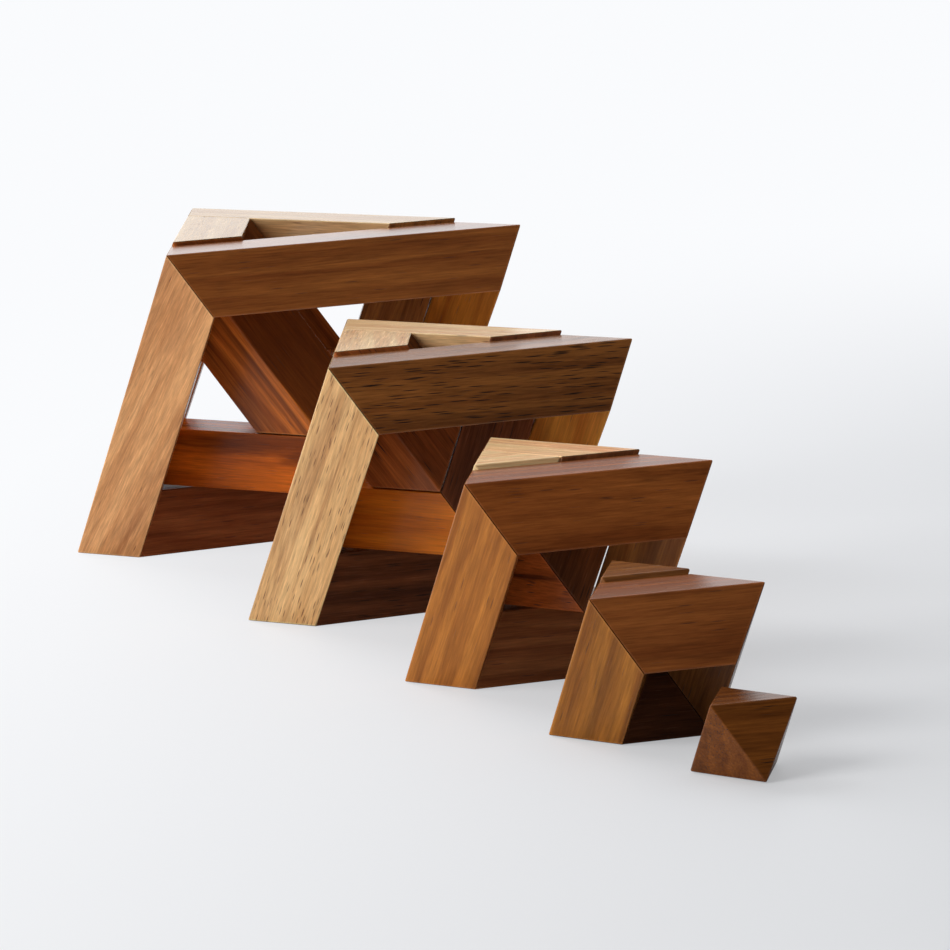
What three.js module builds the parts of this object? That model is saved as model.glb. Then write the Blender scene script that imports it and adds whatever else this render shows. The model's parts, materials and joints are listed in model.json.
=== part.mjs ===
// A wooden burr puzzle set: five graduated octahedra, each a nest of square rings of mitred sticks.
// Millimetres, +Z up, -Y the front. The origin is on the table, under the middle of the whole set.
import * as THREE from 'three';
import { ConvexGeometry } from 'three/addons/geometries/ConvexGeometry.js';

// Driving dimensions
const unitStep = 20; // one step along an octahedron edge
const stickPlay = 0.8; // how much narrower than a step a stick is
const fitGap = 0.3; // clearance between the faces of two nested rings
const mitreGap = 0.2; // clearance between two sticks that meet at a mitre
const rearLift = 1; // how far the nested rings stand proud of the outer ring's top

// The sizes, as steps along an octahedron's edge, and where each stands on the table: in steps from
// the largest, with its turn in degrees
const rowSpots = {
  5: { x: 0, y: 0, turn: 0 },
  4: { x: 1.86, y: -5.08, turn: -1.1 },
  3: { x: 3.21, y: -9.13, turn: -4.8 },
  2: { x: 4.2, y: -12.2, turn: -7.3 },
  1: { x: 5.02, y: -14.1, turn: -9.1 },
};

// The woods, as colour and roughness
const woods = {
  tan: { color: 0xc39a6b, roughness: 0.45 },
  brown: { color: 0x9a6436, roughness: 0.42 },
  dark: { color: 0x6f4526, roughness: 0.4 },
  deep: { color: 0x41241a, roughness: 0.4 },
  amber: { color: 0xb0702f, roughness: 0.38 },
};

// The wood of each stick, by size and then by ring from the outside in; a core has one
const sizeWoods = {
  5: [['brown', 'amber', 'brown', 'tan'], ['tan', 'brown', 'brown', 'dark'], ['tan', 'brown', 'brown', 'dark']],
  4: [['dark', 'amber', 'deep', 'tan'], ['tan', 'brown', 'amber', 'deep'], ['tan', 'dark', 'brown', 'dark']],
  3: [['brown', 'brown', 'brown', 'brown'], ['tan', 'brown', 'dark', 'deep'], ['tan']],
  2: [['brown', 'dark', 'deep', 'brown'], ['brown']],
  1: [['dark']],
};

// Derived sizes. An octahedron's corner lies edge / sqrt(2) from its centre.
const cornerReach = (edge) => edge / Math.SQRT2;
const stickWidth = unitStep - stickPlay; // side of the triangle that a mitred end takes on a face
const halfStick = cornerReach(stickWidth); // half of a stick's section, along the ring's axis
const faceRun = (distance) => distance * Math.sqrt(3); // offset of a face, as the sum of its coordinates
const seatRun = faceRun(fitGap) / 2;
const liftRun = faceRun(rearLift) / 2;

// The three corner axes of an octahedron that stands on a face: left front, right, and back left
const cornerAxis = (degrees) => {
  const angle = THREE.MathUtils.degToRad(degrees);
  const run = Math.sqrt(2 / 3);
  return new THREE.Vector3(run * Math.sin(angle), -run * Math.cos(angle), Math.sqrt(1 / 3));
};
const cornerAxes = new THREE.Matrix4().makeBasis(cornerAxis(-30), cornerAxis(90), cornerAxis(210));

// A stick that spans one quarter of a ring, from the x axis to the y axis, with a mitre at each end
function stickGeometry(reach) {
  const inset = mitreGap / 2;
  const points = [];
  const section = [
    [reach, 0],
    [reach - halfStick, halfStick],
    [reach - halfStick, -halfStick],
    [reach - 2 * halfStick, 0],
  ];
  for (const [along, across] of section) {
    points.push(new THREE.Vector3(along - inset, inset, across));
    points.push(new THREE.Vector3(inset, along - inset, across));
  }
  return new ConvexGeometry(points);
}

// A ring of one step is a solid octahedron
function coreGeometry(reach) {
  const points = [];
  for (const side of [-reach, reach]) {
    points.push(new THREE.Vector3(side, 0, 0));
    points.push(new THREE.Vector3(0, side, 0));
    points.push(new THREE.Vector3(0, 0, side));
  }
  return new ConvexGeometry(points);
}

function woodPiece(name, geometry, wood) {
  const material = new THREE.MeshStandardMaterial({ ...woods[wood], metalness: 0 });
  const mesh = new THREE.Mesh(geometry, material);
  mesh.name = name;
  return mesh;
}

// The rings, from the outside in. Each turns the ring's own axes onto the corner axes, and its four
// sticks follow each other by quarter turns, the loose key first.
const rings = [
  {
    name: 'outer',
    turn: new THREE.Matrix4(),
    sticks: ['top_key', 'right_leg', 'foot_bar', 'left_leg'],
  },
  {
    name: 'middle',
    turn: new THREE.Matrix4().makeBasis(
      new THREE.Vector3(0, 1, 0), new THREE.Vector3(0, 0, 1), new THREE.Vector3(1, 0, 0)),
    sticks: ['back_key', 'left_leg', 'low_bar', 'right_leg'],
  },
  {
    name: 'inner',
    turn: new THREE.Matrix4().makeBasis(
      new THREE.Vector3(0, 0, 1), new THREE.Vector3(1, 0, 0), new THREE.Vector3(0, 1, 0)),
    sticks: ['left_key', 'front_leg', 'low_bar', 'rear_leg'],
  },
];

// How far each ring's corners reach from its centre, and where that centre lies on the corner axes.
// Each ring seats in the window of the ones around it with the fit gap, and stands proud by the lift.
function ringPlaces(outerReach) {
  const lifted = halfStick + seatRun + liftRun;
  return [
    { reach: outerReach, centre: new THREE.Vector3(0, 0, 0) },
    { reach: outerReach - lifted + liftRun, centre: new THREE.Vector3(0, liftRun, lifted) },
    {
      reach: outerReach - 2 * (halfStick + seatRun),
      centre: new THREE.Vector3(halfStick + seatRun, liftRun, lifted),
    },
  ];
}

function octahedronSize(size) {
  const group = new THREE.Group();
  const outerReach = size === 1 ? halfStick : cornerReach(size * unitStep);
  const nest = new THREE.Group();
  nest.applyMatrix4(cornerAxes);
  nest.position.z = outerReach * Math.sqrt(1 / 3);
  group.add(nest);

  const places = ringPlaces(outerReach);
  const ringCount = Math.min(size, rings.length);
  for (let i = 0; i < ringCount; i++) {
    const { reach, centre } = places[i];
    const ring = new THREE.Group();
    ring.applyMatrix4(rings[i].turn);
    ring.position.copy(centre);
    nest.add(ring);
    const stickWoods = sizeWoods[size][i];
    if (size - i === 1) {
      ring.add(woodPiece(`size${size}_core`, coreGeometry(reach), stickWoods[0]));
      continue;
    }
    const geometry = stickGeometry(reach);
    rings[i].sticks.forEach((stickName, quarter) => {
      const name = `size${size}_${rings[i].name}_${stickName}`;
      const stick = woodPiece(name, geometry, stickWoods[quarter]);
      stick.rotation.z = quarter * Math.PI / 2;
      ring.add(stick);
    });
  }
  return group;
}

const row = new THREE.Group();
for (const [steps, { x, y, turn }] of Object.entries(rowSpots)) {
  const size = Number(steps);
  const group = octahedronSize(size);
  group.position.set(x * unitStep, y * unitStep, 0);
  group.rotation.z = THREE.MathUtils.degToRad(turn);
  row.add(group);
}

// Centre the set over the origin, standing on the table
const extent = new THREE.Box3().setFromObject(row, true);
const middle = extent.getCenter(new THREE.Vector3());
row.position.set(-middle.x, -middle.y, -extent.min.z);

const puzzle = new THREE.Group();
puzzle.add(row);

export default puzzle;
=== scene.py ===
import bpy
import bmesh
import json
import math
import random
from mathutils import Matrix, Vector


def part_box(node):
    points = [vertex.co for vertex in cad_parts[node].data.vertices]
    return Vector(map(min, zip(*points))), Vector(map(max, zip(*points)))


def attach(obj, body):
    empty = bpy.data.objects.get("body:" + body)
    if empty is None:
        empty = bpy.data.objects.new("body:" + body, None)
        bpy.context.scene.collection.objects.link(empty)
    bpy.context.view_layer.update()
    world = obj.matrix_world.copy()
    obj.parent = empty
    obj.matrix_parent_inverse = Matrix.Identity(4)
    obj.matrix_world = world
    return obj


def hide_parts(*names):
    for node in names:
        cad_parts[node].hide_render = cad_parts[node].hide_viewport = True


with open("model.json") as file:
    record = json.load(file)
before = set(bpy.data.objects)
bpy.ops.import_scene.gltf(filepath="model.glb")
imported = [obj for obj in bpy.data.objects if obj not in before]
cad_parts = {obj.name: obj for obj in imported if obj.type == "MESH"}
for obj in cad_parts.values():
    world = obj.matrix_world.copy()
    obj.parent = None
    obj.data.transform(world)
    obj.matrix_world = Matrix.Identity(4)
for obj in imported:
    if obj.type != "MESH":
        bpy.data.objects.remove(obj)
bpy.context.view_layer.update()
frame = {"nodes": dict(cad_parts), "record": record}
record = frame["record"]

# Everything is in metres and sits where the CAD puts it. Colours are linear.


def boxOf(nodes):
    lows, highs = zip(*(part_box(node) for node in nodes))
    low = Vector([min(v[i] for v in lows) for i in range(3)])
    high = Vector([max(v[i] for v in highs) for i in range(3)])
    return low, high


# Camera
camera = {
    "lens": 196.5,
    "sensor": 36.0,
    "place": (0.0584, -1.3079, 0.2236),  # from the middle of the largest puzzle's foot
    "turn": 0.607,  # degrees to the left
    "lookDown": 8.947,
    "roll": -1.462,
    "farthest": 30.0,
}


def makeCamera(spec):
    low, high = boxOf([n for n in frame["nodes"] if n.startswith("size5_outer")])
    foot = Vector(((low.x + high.x) / 2, (low.y + high.y) / 2, 0))
    turn, down, roll = (math.radians(spec[key]) for key in ("turn", "lookDown", "roll"))
    ahead = Vector((-math.sin(turn) * math.cos(down), math.cos(turn) * math.cos(down), -math.sin(down)))
    level = Vector((math.cos(turn), math.sin(turn), 0))
    above = level.cross(ahead)
    right = math.cos(roll) * level + math.sin(roll) * above
    up = right.cross(ahead)
    data = bpy.data.cameras.new("standingView")
    data.lens = spec["lens"]
    data.sensor_width = spec["sensor"]
    data.clip_end = spec["farthest"]
    cam = bpy.data.objects.new("standingView", data)
    axes = Matrix((right, up, -ahead)).transposed()
    cam.matrix_world = Matrix.Translation(foot + Vector(spec["place"])) @ axes.to_4x4()
    bpy.context.scene.collection.objects.link(cam)
    bpy.context.scene.camera = cam


makeCamera(camera)
print("camera placed")


# Node helpers
def feed(tree, socket, value):
    if isinstance(value, bpy.types.NodeSocket):
        tree.links.new(value, socket)
    else:
        socket.default_value = value


def addNode(tree, kind, inputs=None, **settings):
    node = tree.nodes.new(kind)
    for key, value in settings.items():
        setattr(node, key, value)
    for key, value in (inputs or {}).items():
        feed(tree, node.inputs[key], value)
    return node


def maths(tree, operation, *values, clamp=False):
    inputs = dict(enumerate(values))
    return addNode(tree, "ShaderNodeMath", inputs, operation=operation, use_clamp=clamp).outputs[0]


def vectorMaths(tree, operation, *values):
    node = addNode(tree, "ShaderNodeVectorMath", dict(enumerate(values)), operation=operation)
    return node.outputs["Value" if operation in ("DOT_PRODUCT", "LENGTH") else "Vector"]


def remap(tree, value, source, target=(0.0, 1.0), kind="SMOOTHSTEP"):
    inputs = {
        "Value": value,
        "From Min": source[0],
        "From Max": source[1],
        "To Min": target[0],
        "To Max": target[1],
    }
    return addNode(tree, "ShaderNodeMapRange", inputs, interpolation_type=kind).outputs["Result"]


def mixColour(tree, factor, first, second, blend="MIX"):
    node = addNode(tree, "ShaderNodeMix", data_type="RGBA", blend_type=blend)
    for index, value in ((0, factor), (6, first), (7, second)):
        feed(tree, node.inputs[index], (*value, 1) if isinstance(value, tuple) else value)
    return node.outputs[2]


def mixShaders(tree, factor, first, second):
    return addNode(tree, "ShaderNodeMixShader", {0: factor, 1: first, 2: second}).outputs[0]


def stretched(tree, grain, along, across):
    scale = addNode(tree, "ShaderNodeCombineXYZ", {"X": along, "Y": across, "Z": across}).outputs[0]
    return vectorMaths(tree, "MULTIPLY", grain, scale)


def grainNoise(tree, grain, form, across=None):
    inputs = {
        "Vector": stretched(tree, grain, form["along"], form["across"] if across is None else across),
        "Scale": 1.0,
        "Detail": form["detail"],
        "Roughness": form.get("roughness", 0.5),
        "Distortion": form.get("distortion", 0.0),
    }
    return addNode(tree, "ShaderNodeTexNoise", inputs).outputs["Fac"]


def newGroup(name, kind, inputs, outputs):
    tree = bpy.data.node_groups.new(name, kind)
    for label, (socketType, value) in inputs.items():
        socket = tree.interface.new_socket(name=label, in_out="INPUT", socket_type=socketType)
        if value is not None:
            socket.default_value = value
    for label, socketType in outputs.items():
        tree.interface.new_socket(name=label, in_out="OUTPUT", socket_type=socketType)
    return tree, tree.nodes.new("NodeGroupInput").outputs, tree.nodes.new("NodeGroupOutput").inputs


# Wood: growth rings, fibres, pores and handled edges, each a group with its own values. The figures along
# and across the grain are patches per metre, and an edge is where a soft step starts and ends.
ringForm = {
    "wander": {"along": 9.0, "across": 55.0, "detail": 3.0, "distortion": 0.4},  # bends the rings
    "rise": (0.0, 0.78),  # the share of a ring over which it darkens
    "fall": (0.80, 1.0),  # and turns pale again
    "cloud": {"along": 14.0, "across": 60.0, "detail": 2.0, "roughness": 0.6},
    "cloudEdge": (0.3, 0.7),
    "ribbon": {"along": 7.0, "detail": 4.0, "roughness": 0.58, "distortion": 0.9},
    "ribbonEdge": (0.50, 0.66),
    "heartWander": 0.004,
    "heartEdge": (-0.0035, -0.0010),
}


def growthRings(form):
    tree, into, out = newGroup(
        "growthRings",
        "ShaderNodeTree",
        {
            "Grain": ("NodeSocketVector", None),
            "Spacing": ("NodeSocketFloat", 0.004),
            "Wobble": ("NodeSocketFloat", 0.003),
            "Ribbon": ("NodeSocketFloat", 0.008),
            "Heart radius": ("NodeSocketFloat", 0.0),
        },
        {"Rings": "NodeSocketFloat", "Blotch": "NodeSocketFloat", "Heart": "NodeSocketFloat"},
    )
    wander = grainNoise(tree, into["Grain"], form["wander"])
    flat = vectorMaths(tree, "MULTIPLY", into["Grain"], (0.0, 1.0, 1.0))
    away = vectorMaths(tree, "LENGTH", flat)
    shifted = maths(tree, "ADD", away, maths(tree, "MULTIPLY", wander, into["Wobble"]))
    phase = maths(tree, "FRACT", maths(tree, "DIVIDE", shifted, into["Spacing"]))
    rise = remap(tree, phase, form["rise"])
    fall = remap(tree, phase, form["fall"], (1.0, 0.0))
    tree.links.new(maths(tree, "MULTIPLY", rise, fall), out["Rings"])
    cloud = grainNoise(tree, into["Grain"], form["cloud"])
    tree.links.new(remap(tree, cloud, form["cloudEdge"]), out["Blotch"])
    narrow = maths(tree, "DIVIDE", 1.0, into["Ribbon"])
    ribbon = grainNoise(tree, into["Grain"], form["ribbon"], across=narrow)
    uneven = maths(tree, "ADD", away, maths(tree, "MULTIPLY", cloud, form["heartWander"]))
    inside = maths(tree, "SUBTRACT", into["Heart radius"], uneven)
    boundary = remap(tree, inside, form["heartEdge"])
    ribboned = remap(tree, ribbon, form["ribbonEdge"])
    tree.links.new(maths(tree, "MAXIMUM", ribboned, boundary), out["Heart"])
    return tree


fibreForm = {
    "fine": {"along": 120.0, "across": 2400.0, "detail": 3.0, "roughness": 0.65},
    "long": {"along": 16.0, "across": 620.0, "detail": 3.0, "roughness": 0.55, "distortion": 0.3},
    "streakEdge": (0.35, 0.68),
}


def woodFibres(form):
    tree, into, out = newGroup(
        "woodFibres",
        "ShaderNodeTree",
        {"Grain": ("NodeSocketVector", None)},
        {"Fibres": "NodeSocketFloat", "Streaks": "NodeSocketFloat"},
    )
    tree.links.new(grainNoise(tree, into["Grain"], form["fine"]), out["Fibres"])
    long = grainNoise(tree, into["Grain"], form["long"])
    tree.links.new(remap(tree, long, form["streakEdge"]), out["Streaks"])
    return tree


poreForm = {
    "fill": 0.56,  # how much of its cell a dash fills
    "dashEdge": (0.14, 0.36),
    "patch": {"along": 30.0, "across": 160.0, "detail": 1.0},
    "patchEdge": 0.18,
}


def openPores(form):
    tree, into, out = newGroup(
        "openPores",
        "ShaderNodeTree",
        {
            "Grain": ("NodeSocketVector", None),
            "Length": ("NodeSocketFloat", 0.003),
            "Width": ("NodeSocketFloat", 0.0005),
            "Amount": ("NodeSocketFloat", 0.4),
            "Bare": ("NodeSocketFloat", 0.3),
        },
        {"Pores": "NodeSocketFloat"},
    )
    along = maths(tree, "DIVIDE", form["fill"], into["Length"])
    across = maths(tree, "DIVIDE", form["fill"], into["Width"])
    cells = addNode(
        tree,
        "ShaderNodeTexVoronoi",
        {"Vector": stretched(tree, into["Grain"], along, across), "Scale": 1.0, "Randomness": 1.0},
        feature="F1",
    )
    pick = addNode(tree, "ShaderNodeSeparateColor", {"Color": cells.outputs["Color"]}).outputs[0]
    kept = maths(tree, "LESS_THAN", pick, into["Amount"])
    dash = remap(tree, cells.outputs["Distance"], form["dashEdge"], (1.0, 0.0))
    patch = grainNoise(tree, into["Grain"], form["patch"])
    worked = remap(tree, patch, (into["Bare"], maths(tree, "ADD", into["Bare"], form["patchEdge"])))
    both = maths(tree, "MULTIPLY", maths(tree, "MULTIPLY", kept, dash), worked)
    tree.links.new(both, out["Pores"])
    return tree


wearForm = {
    "samples": 4,
    "rim": (0.995, 0.90),  # how squarely a worn place still faces the way its face does
    "rub": {"along": 120.0, "across": 300.0, "detail": 3.0},
    "rubEdge": (0.25, 0.65),
    "leastRubbed": 0.35,
}


def handledEdges(form):
    tree, into, out = newGroup(
        "handledEdges",
        "ShaderNodeTree",
        {"Grain": ("NodeSocketVector", None), "Reach": ("NodeSocketFloat", 0.0006)},
        {"Worn": "NodeSocketFloat"},
    )
    bevel = addNode(tree, "ShaderNodeBevel", {"Radius": into["Reach"]}, samples=form["samples"])
    facing = addNode(tree, "ShaderNodeNewGeometry").outputs["Normal"]
    turned = vectorMaths(tree, "DOT_PRODUCT", bevel.outputs["Normal"], facing)
    rim = remap(tree, turned, form["rim"])
    rub = grainNoise(tree, into["Grain"], form["rub"])
    rubbed = remap(tree, rub, form["rubEdge"], (form["leastRubbed"], 1.0))
    tree.links.new(maths(tree, "MULTIPLY", rim, rubbed), out["Worn"])
    return tree


groups = {
    "rings": growthRings(ringForm),
    "fibres": woodFibres(fibreForm),
    "pores": openPores(poreForm),
    "edges": handledEdges(wearForm),
}

woods = {
    "tan_wood": {
        "early": (0.70, 0.42, 0.185), "late": (0.46, 0.225, 0.082), "heart": (0.30, 0.125, 0.045),
        "spacing": 0.0064, "wobble": 0.016, "ringDepth": 0.42, "heartDepth": 0.30, "fibreDepth": 0.32,
        "pore": (0.13, 0.052, 0.022), "poreLength": 0.0032, "poreWidth": 0.00026,
        "poreAmount": 0.85, "poreDepth": 0.85, "bare": 0.32, "roughness": 0.26,
    },
    "brown_wood": {
        "early": (0.52, 0.200, 0.052), "late": (0.28, 0.090, 0.022), "heart": (0.12, 0.040, 0.012),
        "spacing": 0.0050, "wobble": 0.014, "ringDepth": 0.50, "heartDepth": 0.45, "fibreDepth": 0.30,
        "pore": (0.06, 0.020, 0.009), "poreLength": 0.0040, "poreWidth": 0.00028,
        "poreAmount": 0.70, "poreDepth": 0.6, "bare": 0.30, "roughness": 0.25,
    },
    "dark_wood": {
        "early": (0.40, 0.150, 0.036), "late": (0.18, 0.058, 0.015), "heart": (0.085, 0.028, 0.010),
        "spacing": 0.0046, "wobble": 0.014, "ringDepth": 0.34, "heartDepth": 0.40, "fibreDepth": 0.38,
        "pore": (0.012, 0.006, 0.004), "poreLength": 0.0056, "poreWidth": 0.00025,
        "poreAmount": 1.0, "poreDepth": 1.0, "bare": 0.22, "roughness": 0.24,
    },
    "deep_wood": {
        "early": (0.27, 0.085, 0.024), "late": (0.13, 0.040, 0.013), "heart": (0.050, 0.018, 0.009),
        "spacing": 0.0056, "wobble": 0.014, "ringDepth": 0.55, "heartDepth": 0.40, "fibreDepth": 0.36,
        "pore": (0.014, 0.007, 0.004), "poreLength": 0.0048, "poreWidth": 0.00026,
        "poreAmount": 0.7, "poreDepth": 0.8, "bare": 0.26, "roughness": 0.26,
    },
    "amber_wood": {
        "early": (0.72, 0.265, 0.036), "late": (0.44, 0.130, 0.016), "heart": (0.24, 0.062, 0.012),
        "spacing": 0.0070, "wobble": 0.022, "ringDepth": 0.42, "heartDepth": 0.35, "fibreDepth": 0.22,
        "pore": (0.12, 0.034, 0.010), "poreLength": 0.0030, "poreWidth": 0.00028,
        "poreAmount": 0.5, "poreDepth": 0.5, "bare": 0.34, "roughness": 0.24,
    },
}

# How the tone of a stick differs from that of its wood. On the top sticks (the back and left keys of sizes 5
# and 4, and the back key and core of size 3) it also holds painted sheen: a paler, whiter colour that stands
# in for the grazing reflection on their tops.
tonesAndPaintedSheen = {
    "size5_outer_top_key": (0.86, 0.74, 0.56),
    "size5_outer_left_leg": (1.02, 0.88, 0.84),
    "size5_outer_foot_bar": (1.16, 1.04, 1.40),
    "size5_middle_back_key": (1.05, 1.20, 1.40),
    "size5_middle_low_bar": (1.32, 0.74, 0.20),
    "size5_inner_left_key": (1.05, 1.20, 1.40),
    "size5_inner_front_leg": (1.28, 0.92, 0.56),
    "size4_outer_top_key": (0.90, 0.88, 0.80),
    "size4_outer_left_leg": (1.28, 1.38, 1.46),
    "size4_outer_right_leg": (1.38, 1.38, 1.70),
    "size4_outer_foot_bar": (1.20, 1.50, 2.20),
    "size4_middle_back_key": (1.45, 1.52, 1.80),
    "size4_middle_right_leg": (1.30, 1.30, 1.60),
    "size4_middle_low_bar": (1.08, 0.82, 0.44),
    "size4_inner_left_key": (1.45, 1.52, 1.80),
    "size4_inner_front_leg": (1.24, 0.94, 0.90),
    "size3_outer_top_key": (0.78, 0.60, 0.46),
    "size3_outer_left_leg": (0.98, 0.94, 0.64),
    "size3_outer_foot_bar": (1.05, 1.03, 1.30),
    "size3_middle_back_key": (1.80, 1.60, 1.85),
    "size3_middle_low_bar": (1.45, 0.92, 0.70),
    "size3_core": (1.85, 1.66, 1.95),
    "size2_outer_top_key": (0.68, 0.54, 0.46),
    "size2_outer_left_leg": (0.79, 0.78, 0.42),
    "size2_outer_right_leg": (0.60, 0.60, 0.60),
    "size2_outer_foot_bar": (0.50, 0.50, 0.55),
    "size2_core": (0.55, 0.55, 0.55),
    "size1_core": (0.55, 0.45, 0.28),
}

# How open a stick's pores are
openness = {
    "size5_outer_left_leg": 0.05,
    "size4_outer_top_key": 1.0,
    "size4_outer_foot_bar": 0.6,
    "size4_outer_left_leg": 1.0,
    "others": 0.20,
}

# Sticks with a figure of their own: how wide and how deep the dark ribbons are, how many degrees the grain
# slopes off the stick, and on which side the stick is darker
figures = {
    "size5_outer_left_leg": {"ribbon": 0.007, "depth": 0.70, "slope": -7.0},
    "size5_outer_top_key": {"ribbon": 0.006, "depth": 0.60},
    "size5_middle_low_bar": {"ribbon": 0.013, "depth": 0.85},
    "size5_inner_front_leg": {"depth": 0.85, "darkerSide": (1.0, 0.0, -0.3)},
    "size5_middle_back_key": {"depth": 0.10},
    "size5_inner_left_key": {"depth": 0.10},
    "size4_outer_left_leg": {"ribbon": 0.005, "depth": 0.62},
    "size4_middle_back_key": {"depth": 0.10},
    "size4_inner_left_key": {"depth": 0.10},
    "size3_middle_low_bar": {"ribbon": 0.006, "depth": 0.98, "slope": 6.0},
    "size3_middle_back_key": {"depth": 0.0},
    "size3_core": {"depth": 0.0},
}

# How much wax a stick holds, where it has any
polish = {
    "size5_outer_top_key": 1.0,
    "size5_middle_back_key": 0.65,
    "size5_inner_left_key": 0.65,
    "size4_outer_top_key": 0.40,
    "size4_middle_back_key": 0.30,
    "size4_inner_left_key": 0.30,
    "size3_middle_back_key": 0.10,
    "size3_core": 0.10,
    "size2_outer_top_key": 0.10,
}

# What all the sticks share
finish = {
    "brightest": 0.9,  # no wood's colour goes above this
    "streakDepth": 0.30,
    "cloudDepth": 0.36,
    "fibreEdge": (0.25, 0.75),
    "wornDepth": 0.45,
    "wornReach": 0.0006,
    "wornGain": 1.5,  # rubbed edges are paler than the wood, by this and the lift
    "wornLift": 0.04,
    "fibreRoughness": 0.10,
    "poreRoughness": 0.22,
    "wornSmoothness": 0.06,
    "fibreHeight": 0.35,
    "bumpStrength": 0.3,
    "bumpDistance": 0.00003,
    "ior": 1.28,
    "coatRoughness": 0.22,
    "coatIor": 1.45,
}


def toned(colour, toneAndSheen):
    return tuple(min(finish["brightest"], c * t) for c, t in zip(colour, toneAndSheen))


def placeGroup(tree, name, **values):
    node = tree.nodes.new("ShaderNodeGroup")
    node.node_tree = groups[name]
    for label, value in values.items():
        feed(tree, node.inputs[label.replace("_", " ")], value)
    return node.outputs


def woodMaterial(name, wood, toneAndSheen, poreShare, figure, coat):
    material = bpy.data.materials.new(name)
    material.use_nodes = True
    tree = material.node_tree
    tree.nodes.clear()
    grain = addNode(tree, "ShaderNodeAttribute", attribute_name="grain").outputs["Vector"]
    rings = placeGroup(
        tree, "rings", Grain=grain, Spacing=wood["spacing"], Wobble=wood["wobble"],
        Ribbon=figure["ribbon"], Heart_radius=figure["heartRadius"])
    fibres = placeGroup(tree, "fibres", Grain=grain)
    pores = placeGroup(
        tree, "pores", Grain=grain, Length=wood["poreLength"], Width=wood["poreWidth"],
        Amount=wood["poreAmount"] * poreShare, Bare=wood["bare"])["Pores"]
    worn = placeGroup(tree, "edges", Grain=grain, Reach=finish["wornReach"])["Worn"]

    # Painted sheen: on the top sticks these tones also pale and whiten the colour in place of the reflection
    # on their tops
    early, late, heart, pore = (toned(wood[key], toneAndSheen) for key in ("early", "late", "heart", "pore"))
    banded = maths(tree, "MULTIPLY", rings["Rings"], wood["ringDepth"])
    streaked = maths(tree, "MULTIPLY", fibres["Streaks"], finish["streakDepth"])
    clouded = maths(tree, "MULTIPLY", rings["Blotch"], finish["cloudDepth"])
    depth = maths(tree, "ADD", maths(tree, "ADD", banded, streaked), clouded, clamp=True)
    colour = mixColour(tree, depth, early, late)
    colour = mixColour(tree, maths(tree, "MULTIPLY", rings["Heart"], figure["depth"]), colour, heart)
    swing = wood["fibreDepth"]
    shade = remap(tree, fibres["Fibres"], finish["fibreEdge"], (1.0 - swing, 1.0 + swing), kind="LINEAR")
    shades = addNode(tree, "ShaderNodeCombineColor", {"Red": shade, "Green": shade, "Blue": shade}).outputs[0]
    colour = mixColour(tree, 1.0, colour, shades, blend="MULTIPLY")
    colour = mixColour(tree, maths(tree, "MULTIPLY", pores, wood["poreDepth"]), colour, pore)
    pale = tuple(min(finish["brightest"], c * finish["wornGain"] + finish["wornLift"]) for c in early)
    colour = mixColour(tree, maths(tree, "MULTIPLY", worn, finish["wornDepth"]), colour, pale)

    smoothest = wood["roughness"] - finish["fibreRoughness"] / 2
    rough = maths(tree, "ADD", maths(tree, "MULTIPLY", fibres["Fibres"], finish["fibreRoughness"]), smoothest)
    rough = maths(tree, "ADD", rough, maths(tree, "MULTIPLY", pores, finish["poreRoughness"]))
    rough = maths(tree, "SUBTRACT", rough, maths(tree, "MULTIPLY", worn, finish["wornSmoothness"]))
    raised = maths(tree, "MULTIPLY", fibres["Fibres"], finish["fibreHeight"])
    bump = addNode(
        tree, "ShaderNodeBump",
        {"Strength": finish["bumpStrength"], "Distance": finish["bumpDistance"],
         "Height": maths(tree, "SUBTRACT", raised, pores)})
    surface = addNode(
        tree, "ShaderNodeBsdfPrincipled",
        {"Base Color": colour, "Roughness": rough, "Normal": bump.outputs["Normal"], "IOR": finish["ior"],
         "Coat Weight": coat, "Coat Roughness": finish["coatRoughness"], "Coat IOR": finish["coatIor"]})
    addNode(tree, "ShaderNodeOutputMaterial", {"Surface": surface.outputs["BSDF"]})
    return material


# Sticks: a blank from the CAD solid, its edges eased, its grain laid along it
easing = {
    "edge": 0.00038,
    "mitreShare": 0.22,
    "coreShare": 0.75,
    "unevenness": 0.18,
    "segments": 3,
    "sameWay": 0.999,  # an edge this closely in line with its stick is a long one
}


def easedEdges():
    tree, into, out = newGroup(
        "easedEdges",
        "GeometryNodeTree",
        {
            "Geometry": ("NodeSocketGeometry", None),
            "Along": ("NodeSocketVector", (1.0, 0.0, 0.0)),
            "Long edge": ("NodeSocketFloat", 1.0),
            "Mitre edge": ("NodeSocketFloat", 0.25),
            "Unevenness": ("NodeSocketFloat", 0.2),
            "Seed": ("NodeSocketInt", 1),
        },
        {"Geometry": "NodeSocketGeometry"},
    )
    ends = addNode(tree, "GeometryNodeInputMeshEdgeVertices").outputs
    run = vectorMaths(tree, "SUBTRACT", ends["Position 2"], ends["Position 1"])
    lined = vectorMaths(tree, "DOT_PRODUCT", vectorMaths(tree, "NORMALIZE", run), into["Along"])
    isLong = maths(tree, "GREATER_THAN", maths(tree, "ABSOLUTE", lined), easing["sameWay"])
    shares = {0: isLong, 2: into["Mitre edge"], 3: into["Long edge"]}
    share = addNode(tree, "ShaderNodeMix", shares).outputs[0]
    least = maths(tree, "SUBTRACT", 1.0, into["Unevenness"])
    chance = addNode(
        tree, "FunctionNodeRandomValue", {"Min": least, "Max": 1.0, "Seed": into["Seed"]}, data_type="FLOAT")
    draw = [s for s in chance.outputs if s.enabled][0]
    weight = maths(tree, "MULTIPLY", share, draw)
    stored = addNode(
        tree, "GeometryNodeStoreNamedAttribute",
        {"Geometry": into["Geometry"], "Name": "bevel_weight_edge", "Value": weight},
        data_type="FLOAT", domain="EDGE")
    tree.links.new(stored.outputs["Geometry"], out["Geometry"])
    return tree


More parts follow.
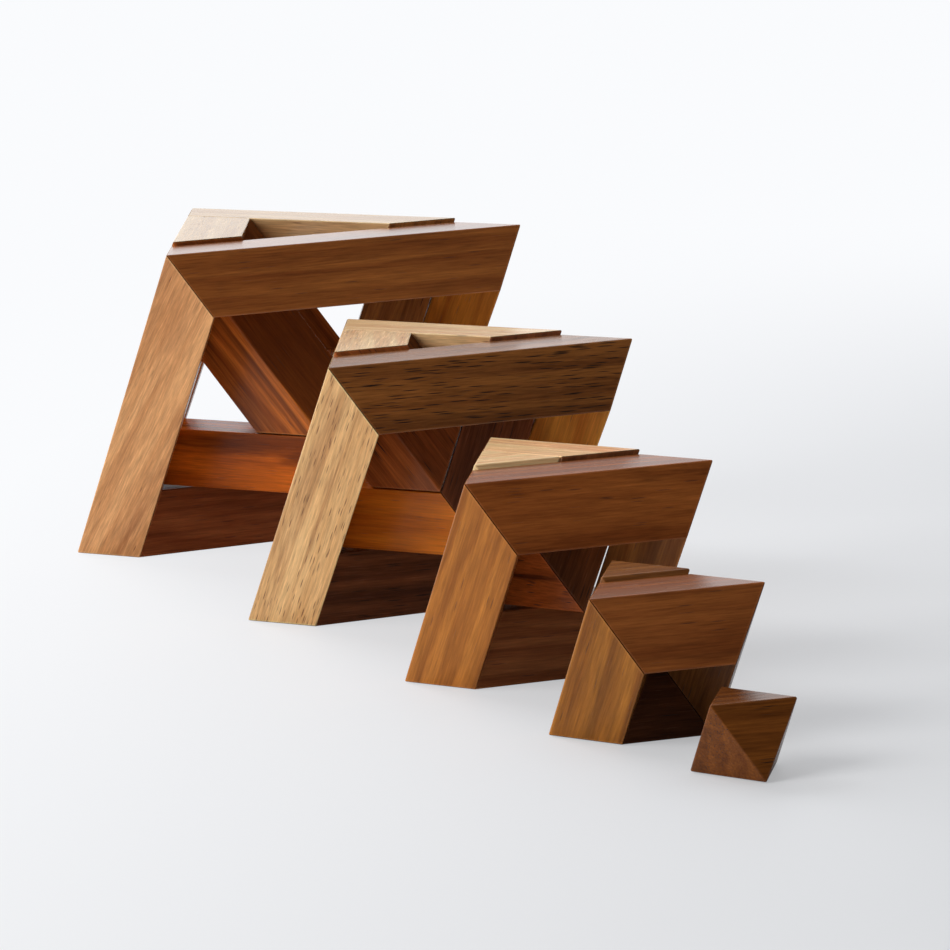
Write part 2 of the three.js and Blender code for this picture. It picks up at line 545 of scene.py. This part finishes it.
def grainAlong():
    tree, into, out = newGroup(
        "grainAlong",
        "GeometryNodeTree",
        {
            "Geometry": ("NodeSocketGeometry", None),
            "Middle": ("NodeSocketVector", (0.0, 0.0, 0.0)),
            "Along": ("NodeSocketVector", (1.0, 0.0, 0.0)),
            "Across": ("NodeSocketVector", (0.0, 1.0, 0.0)),
            "Pith": ("NodeSocketVector", (0.0, 0.0, 0.0)),
            "Flat face": ("NodeSocketFloat", 0.00004),
            "Wood": ("NodeSocketMaterial", None),
        },
        {"Geometry": "NodeSocketGeometry"},
    )
    place = addNode(tree, "GeometryNodeInputPosition").outputs["Position"]
    local = vectorMaths(tree, "SUBTRACT", place, into["Middle"])
    through = vectorMaths(tree, "CROSS_PRODUCT", into["Along"], into["Across"])
    axes = (into["Along"], into["Across"], through)
    parts = [vectorMaths(tree, "DOT_PRODUCT", local, axis) for axis in axes]
    grain = addNode(tree, "ShaderNodeCombineXYZ", dict(enumerate(parts))).outputs[0]
    fromPith = vectorMaths(tree, "ADD", grain, into["Pith"])
    stored = addNode(
        tree, "GeometryNodeStoreNamedAttribute",
        {"Geometry": into["Geometry"], "Name": "grain", "Value": fromPith},
        data_type="FLOAT_VECTOR", domain="POINT")
    area = addNode(tree, "GeometryNodeInputMeshFaceArea").outputs["Area"]
    narrow = addNode(
        tree, "FunctionNodeCompare", {"A": area, "B": into["Flat face"]},
        data_type="FLOAT", operation="LESS_THAN")
    smooth = addNode(
        tree, "GeometryNodeSetShadeSmooth",
        {"Geometry": stored.outputs["Geometry"], "Shade Smooth": narrow.outputs["Result"]})
    real = addNode(tree, "GeometryNodeRealizeInstances", {"Geometry": smooth.outputs["Geometry"]})
    dressed = addNode(
        tree, "GeometryNodeSetMaterial", {"Geometry": real.outputs["Geometry"], "Material": into["Wood"]})
    tree.links.new(dressed.outputs["Geometry"], out["Geometry"])
    return tree


def setInputs(modifier, **values):
    names = {i.name: i.identifier for i in modifier.node_group.interface.items_tree if i.in_out == "INPUT"}
    for label, value in values.items():
        modifier[names[label.replace("_", " ")]] = value


blank = {
    "merge": 0.000001,
    "flatWithin": 1.0,  # degrees
    "coreCorners": 6,  # a stick has more
}


def blankOf(node):
    mesh = bpy.data.meshes.new(node + "_wood")
    bm = bmesh.new()
    bm.from_mesh(frame["nodes"][node].data)
    bmesh.ops.remove_doubles(bm, verts=bm.verts, dist=blank["merge"])
    flatWithin = math.radians(blank["flatWithin"])
    bmesh.ops.dissolve_limit(bm, angle_limit=flatWithin, verts=bm.verts, edges=bm.edges)
    bmesh.ops.recalc_face_normals(bm, faces=bm.faces)
    bm.to_mesh(mesh)
    bm.free()
    return mesh


def alongOf(mesh):
    corners = [v.co for v in mesh.vertices]
    if len(corners) > blank["coreCorners"]:
        pairs = [(b - a) for i, a in enumerate(corners) for b in corners[i + 1:]]
        along = max(pairs, key=lambda pair: pair.length)
    else:
        runs = [corners[e.vertices[1]] - corners[e.vertices[0]] for e in mesh.edges]
        along = max(runs, key=lambda run: abs(run.x))
    along = along.normalized()
    return along if along.x + along.z > 0 else -along


trees = {"edges": easedEdges(), "grain": grainAlong()}
bodyOf = {node: body for body, nodes in record["behaviour"]["bodies"].items() for node in nodes}
slotOf = {part["node"]: part["material_slot"] for part in record["subparts"]}

# Where in the log the sticks are cut, as the place of its pith, and the figure of those without their own
cut = {
    "firstSeed": 11,
    "pithAlong": (0.5, 6.0),
    "pithAway": (0.018, 0.050),
    "pithAside": (-0.01, 0.01),
    "slope": (-2.0, 2.0),
    "ribbon": 0.008,
}


def makeStick(node, seed):
    rng = random.Random(seed)
    mesh = blankOf(node)
    along = alongOf(mesh)
    middle = sum((v.co for v in mesh.vertices), Vector()) / len(mesh.vertices)
    outward = along.orthogonal().normalized()
    outward.rotate(Matrix.Rotation(rng.uniform(0, math.tau), 3, along))
    pith = Vector([rng.uniform(*cut[key]) for key in ("pithAlong", "pithAway", "pithAside")])
    slot = slotOf[node]
    figure = {
        "ribbon": cut["ribbon"],
        "depth": woods[slot]["heartDepth"],
        "heartRadius": 0.0,
        "slope": rng.uniform(*cut["slope"]),
    }
    figure.update(figures.get(node, {}))
    if "darkerSide" in figure:
        outward = -along.cross(Vector(figure["darkerSide"])).cross(along).normalized()
        pith.z = 0.0
        figure["heartRadius"] = pith.y
    grainWay = along.copy()
    grainWay.rotate(Matrix.Rotation(math.radians(figure["slope"]), 3, along.cross(outward)))
    grainAcross = along.cross(outward).cross(grainWay).normalized()
    isCore = node.endswith("core")
    share = easing["coreShare"] if isCore else 1.0

    material = woodMaterial(
        f"{node}_{slot}", woods[slot], tonesAndPaintedSheen.get(node, (1, 1, 1)), openness.get(node, openness["others"]),
        figure, polish.get(node, 0.0))

    piece = bpy.data.objects.new(node + "_wood", mesh)
    bpy.context.scene.collection.objects.link(piece)
    edges = piece.modifiers.new("easedEdges", "NODES")
    edges.node_group = trees["edges"]
    setInputs(edges, Along=along, Long_edge=share, Mitre_edge=share if isCore else easing["mitreShare"],
              Unevenness=easing["unevenness"], Seed=seed)
    bevel = piece.modifiers.new("easing", "BEVEL")
    bevel.limit_method = "WEIGHT"
    bevel.width = easing["edge"]
    bevel.segments = easing["segments"]
    grain = piece.modifiers.new("grainAlong", "NODES")
    grain.node_group = trees["grain"]
    setInputs(grain, Middle=middle, Along=grainWay, Across=grainAcross, Pith=pith, Wood=material)

    made = bpy.data.meshes.new_from_object(piece.evaluated_get(bpy.context.evaluated_depsgraph_get()))
    piece.modifiers.clear()
    piece.data = made
    made.name = node + "_wood"
    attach(piece, bodyOf[node])
    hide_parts(node)


for seed, node in enumerate(sorted(slotOf), start=cut["firstSeed"]):
    makeStick(node, seed)
print("sticks made:", len(slotOf))


# Floor and light
table = {
    "reach": 9.0,
    "sides": 96,
    "height": -0.0002,  # a hair below the feet
    "colour": (0.64, 0.65, 0.67),
    "roughness": 0.55,
    "haze": (0.955, 0.965, 0.985),
    "near": 0.28,  # how far out the haze starts to thicken
    "far": 0.86,  # and hides the table
    "lift": 0.62,  # how much haze there is nearer than that
    "paintedLightWay": (-2.4, 0.42, 0.0),  # painted light: how the haze grows across the table, brighter to the left and back and dimmer to the right and front, in place of the window's light falling off
    "dimmest": -0.45,  # the most that this painted light falls by
}


def makeFloor(spec):
    mesh = bpy.data.meshes.new("tableTop")
    bm = bmesh.new()
    bmesh.ops.create_circle(bm, cap_ends=True, radius=spec["reach"], segments=spec["sides"])
    bm.to_mesh(mesh)
    bm.free()
    material = bpy.data.materials.new("whiteTable")
    material.use_nodes = True
    tree = material.node_tree
    tree.nodes.clear()
    place = addNode(tree, "ShaderNodeTexCoord").outputs["Object"]
    away = vectorMaths(tree, "LENGTH", place)
    # Painted light: near the puzzles and for the camera, the haze is made brighter to the left and back and
    # dimmer to the right and front, in place of the window light's fall-off
    paintedLight = maths(tree, "MAXIMUM", vectorMaths(tree, "DOT_PRODUCT", place, spec["paintedLightWay"]), spec["dimmest"])
    rays = addNode(tree, "ShaderNodeLightPath").outputs
    lift = maths(tree, "MULTIPLY", rays["Is Camera Ray"], spec["lift"])
    outwards = (spec["near"], spec["far"])
    fade = remap(tree, away, outwards, (lift, 1.0))
    paintedLightNear = remap(tree, away, outwards, (rays["Is Camera Ray"], 0.0))
    fade = maths(tree, "ADD", fade, maths(tree, "MULTIPLY", paintedLight, paintedLightNear), clamp=True)
    seen = maths(tree, "ADD", rays["Is Camera Ray"], rays["Is Glossy Ray"])
    seen = maths(tree, "ADD", seen, rays["Is Transmission Ray"], clamp=True)
    plain = addNode(
        tree, "ShaderNodeBsdfPrincipled",
        {"Base Color": (*spec["colour"], 1), "Roughness": spec["roughness"]}).outputs[0]
    hazed = addNode(tree, "ShaderNodeEmission", {"Color": (*spec["haze"], 1), "Strength": 1.0}).outputs[0]
    above = mixShaders(tree, maths(tree, "MULTIPLY", fade, seen), plain, hazed)
    beneath = addNode(tree, "ShaderNodeNewGeometry").outputs["Backfacing"]
    clear = addNode(tree, "ShaderNodeBsdfTransparent").outputs[0]
    addNode(tree, "ShaderNodeOutputMaterial", {"Surface": mixShaders(tree, beneath, above, clear)})
    mesh.materials.append(material)
    floor = bpy.data.objects.new("tableTop", mesh)
    floor.location.z = spec["height"]
    bpy.context.scene.collection.objects.link(floor)


lamps = {
    "windowLeft": {
        "place": (-1.15, -0.75, 0.75),
        "size": 0.9,
        "power": 16.0,
        "colour": (1.0, 0.985, 0.96),
        "mirrored": True,
    },
    "windowBehind": {
        "place": (-0.75, 1.05, 0.80),
        "size": 1.0,
        "power": 21.0,
        "colour": (0.97, 0.985, 1.0),
        "mirrored": False,  # its glare would hide the grain on the tops
    },
}
lampAim = (0.0, 0.0, 0.03)
room = {
    "windowWay": (-0.45, 0.89, 0.0),  # the bright side of the room, behind and to the left
    "bright": 0.62,
    "dim": 0.16,
    "brightEdge": (-0.5, 0.6),
    "colour": (0.98, 0.985, 1.0),
    "mirrorDim": 0.03,  # how bright the dim side is in a reflection
    "mirrorEdge": (-0.2, 0.5),
    "backdrop": (0.955, 0.965, 0.985),
}


def makeLamp(name, spec, target):
    data = bpy.data.lights.new(name, "AREA")
    data.shape = "SQUARE"
    data.size = spec["size"]
    data.energy = spec["power"]
    data.color = spec["colour"]
    lamp = bpy.data.objects.new(name, data)
    lamp.visible_camera = False
    lamp.visible_glossy = spec["mirrored"]
    lamp.location = spec["place"]
    lamp.rotation_euler = (target - lamp.location).to_track_quat("-Z", "Y").to_euler()
    bpy.context.scene.collection.objects.link(lamp)


def makeRoom(spec):
    world = bpy.data.worlds.new("paleRoom")
    bpy.context.scene.world = world
    world.use_nodes = True
    tree = world.node_tree
    tree.nodes.clear()
    rays = addNode(tree, "ShaderNodeLightPath").outputs
    way = addNode(tree, "ShaderNodeTexCoord").outputs["Generated"]
    towards = vectorMaths(tree, "DOT_PRODUCT", way, spec["windowWay"])
    glow = remap(tree, towards, spec["brightEdge"], (spec["dim"], spec["bright"]))
    shine = remap(tree, towards, spec["mirrorEdge"], (spec["mirrorDim"], 1.0))
    mirrored = maths(tree, "ADD", rays["Is Glossy Ray"], rays["Is Transmission Ray"], clamp=True)
    strength = addNode(tree, "ShaderNodeMix", {0: mirrored, 2: glow, 3: shine}).outputs[0]
    fill = addNode(tree, "ShaderNodeBackground", {"Color": (*spec["colour"], 1), "Strength": strength})
    backdrop = addNode(tree, "ShaderNodeBackground", {"Color": (*spec["backdrop"], 1), "Strength": 1.0})
    mixed = mixShaders(tree, rays["Is Camera Ray"], fill.outputs[0], backdrop.outputs[0])
    addNode(tree, "ShaderNodeOutputWorld", {"Surface": mixed})


makeFloor(table)
for name, spec in lamps.items():
    makeLamp(name, spec, Vector(lampAim))
makeRoom(room)
bpy.context.scene.view_settings.view_transform = "Standard"
print("room lit")
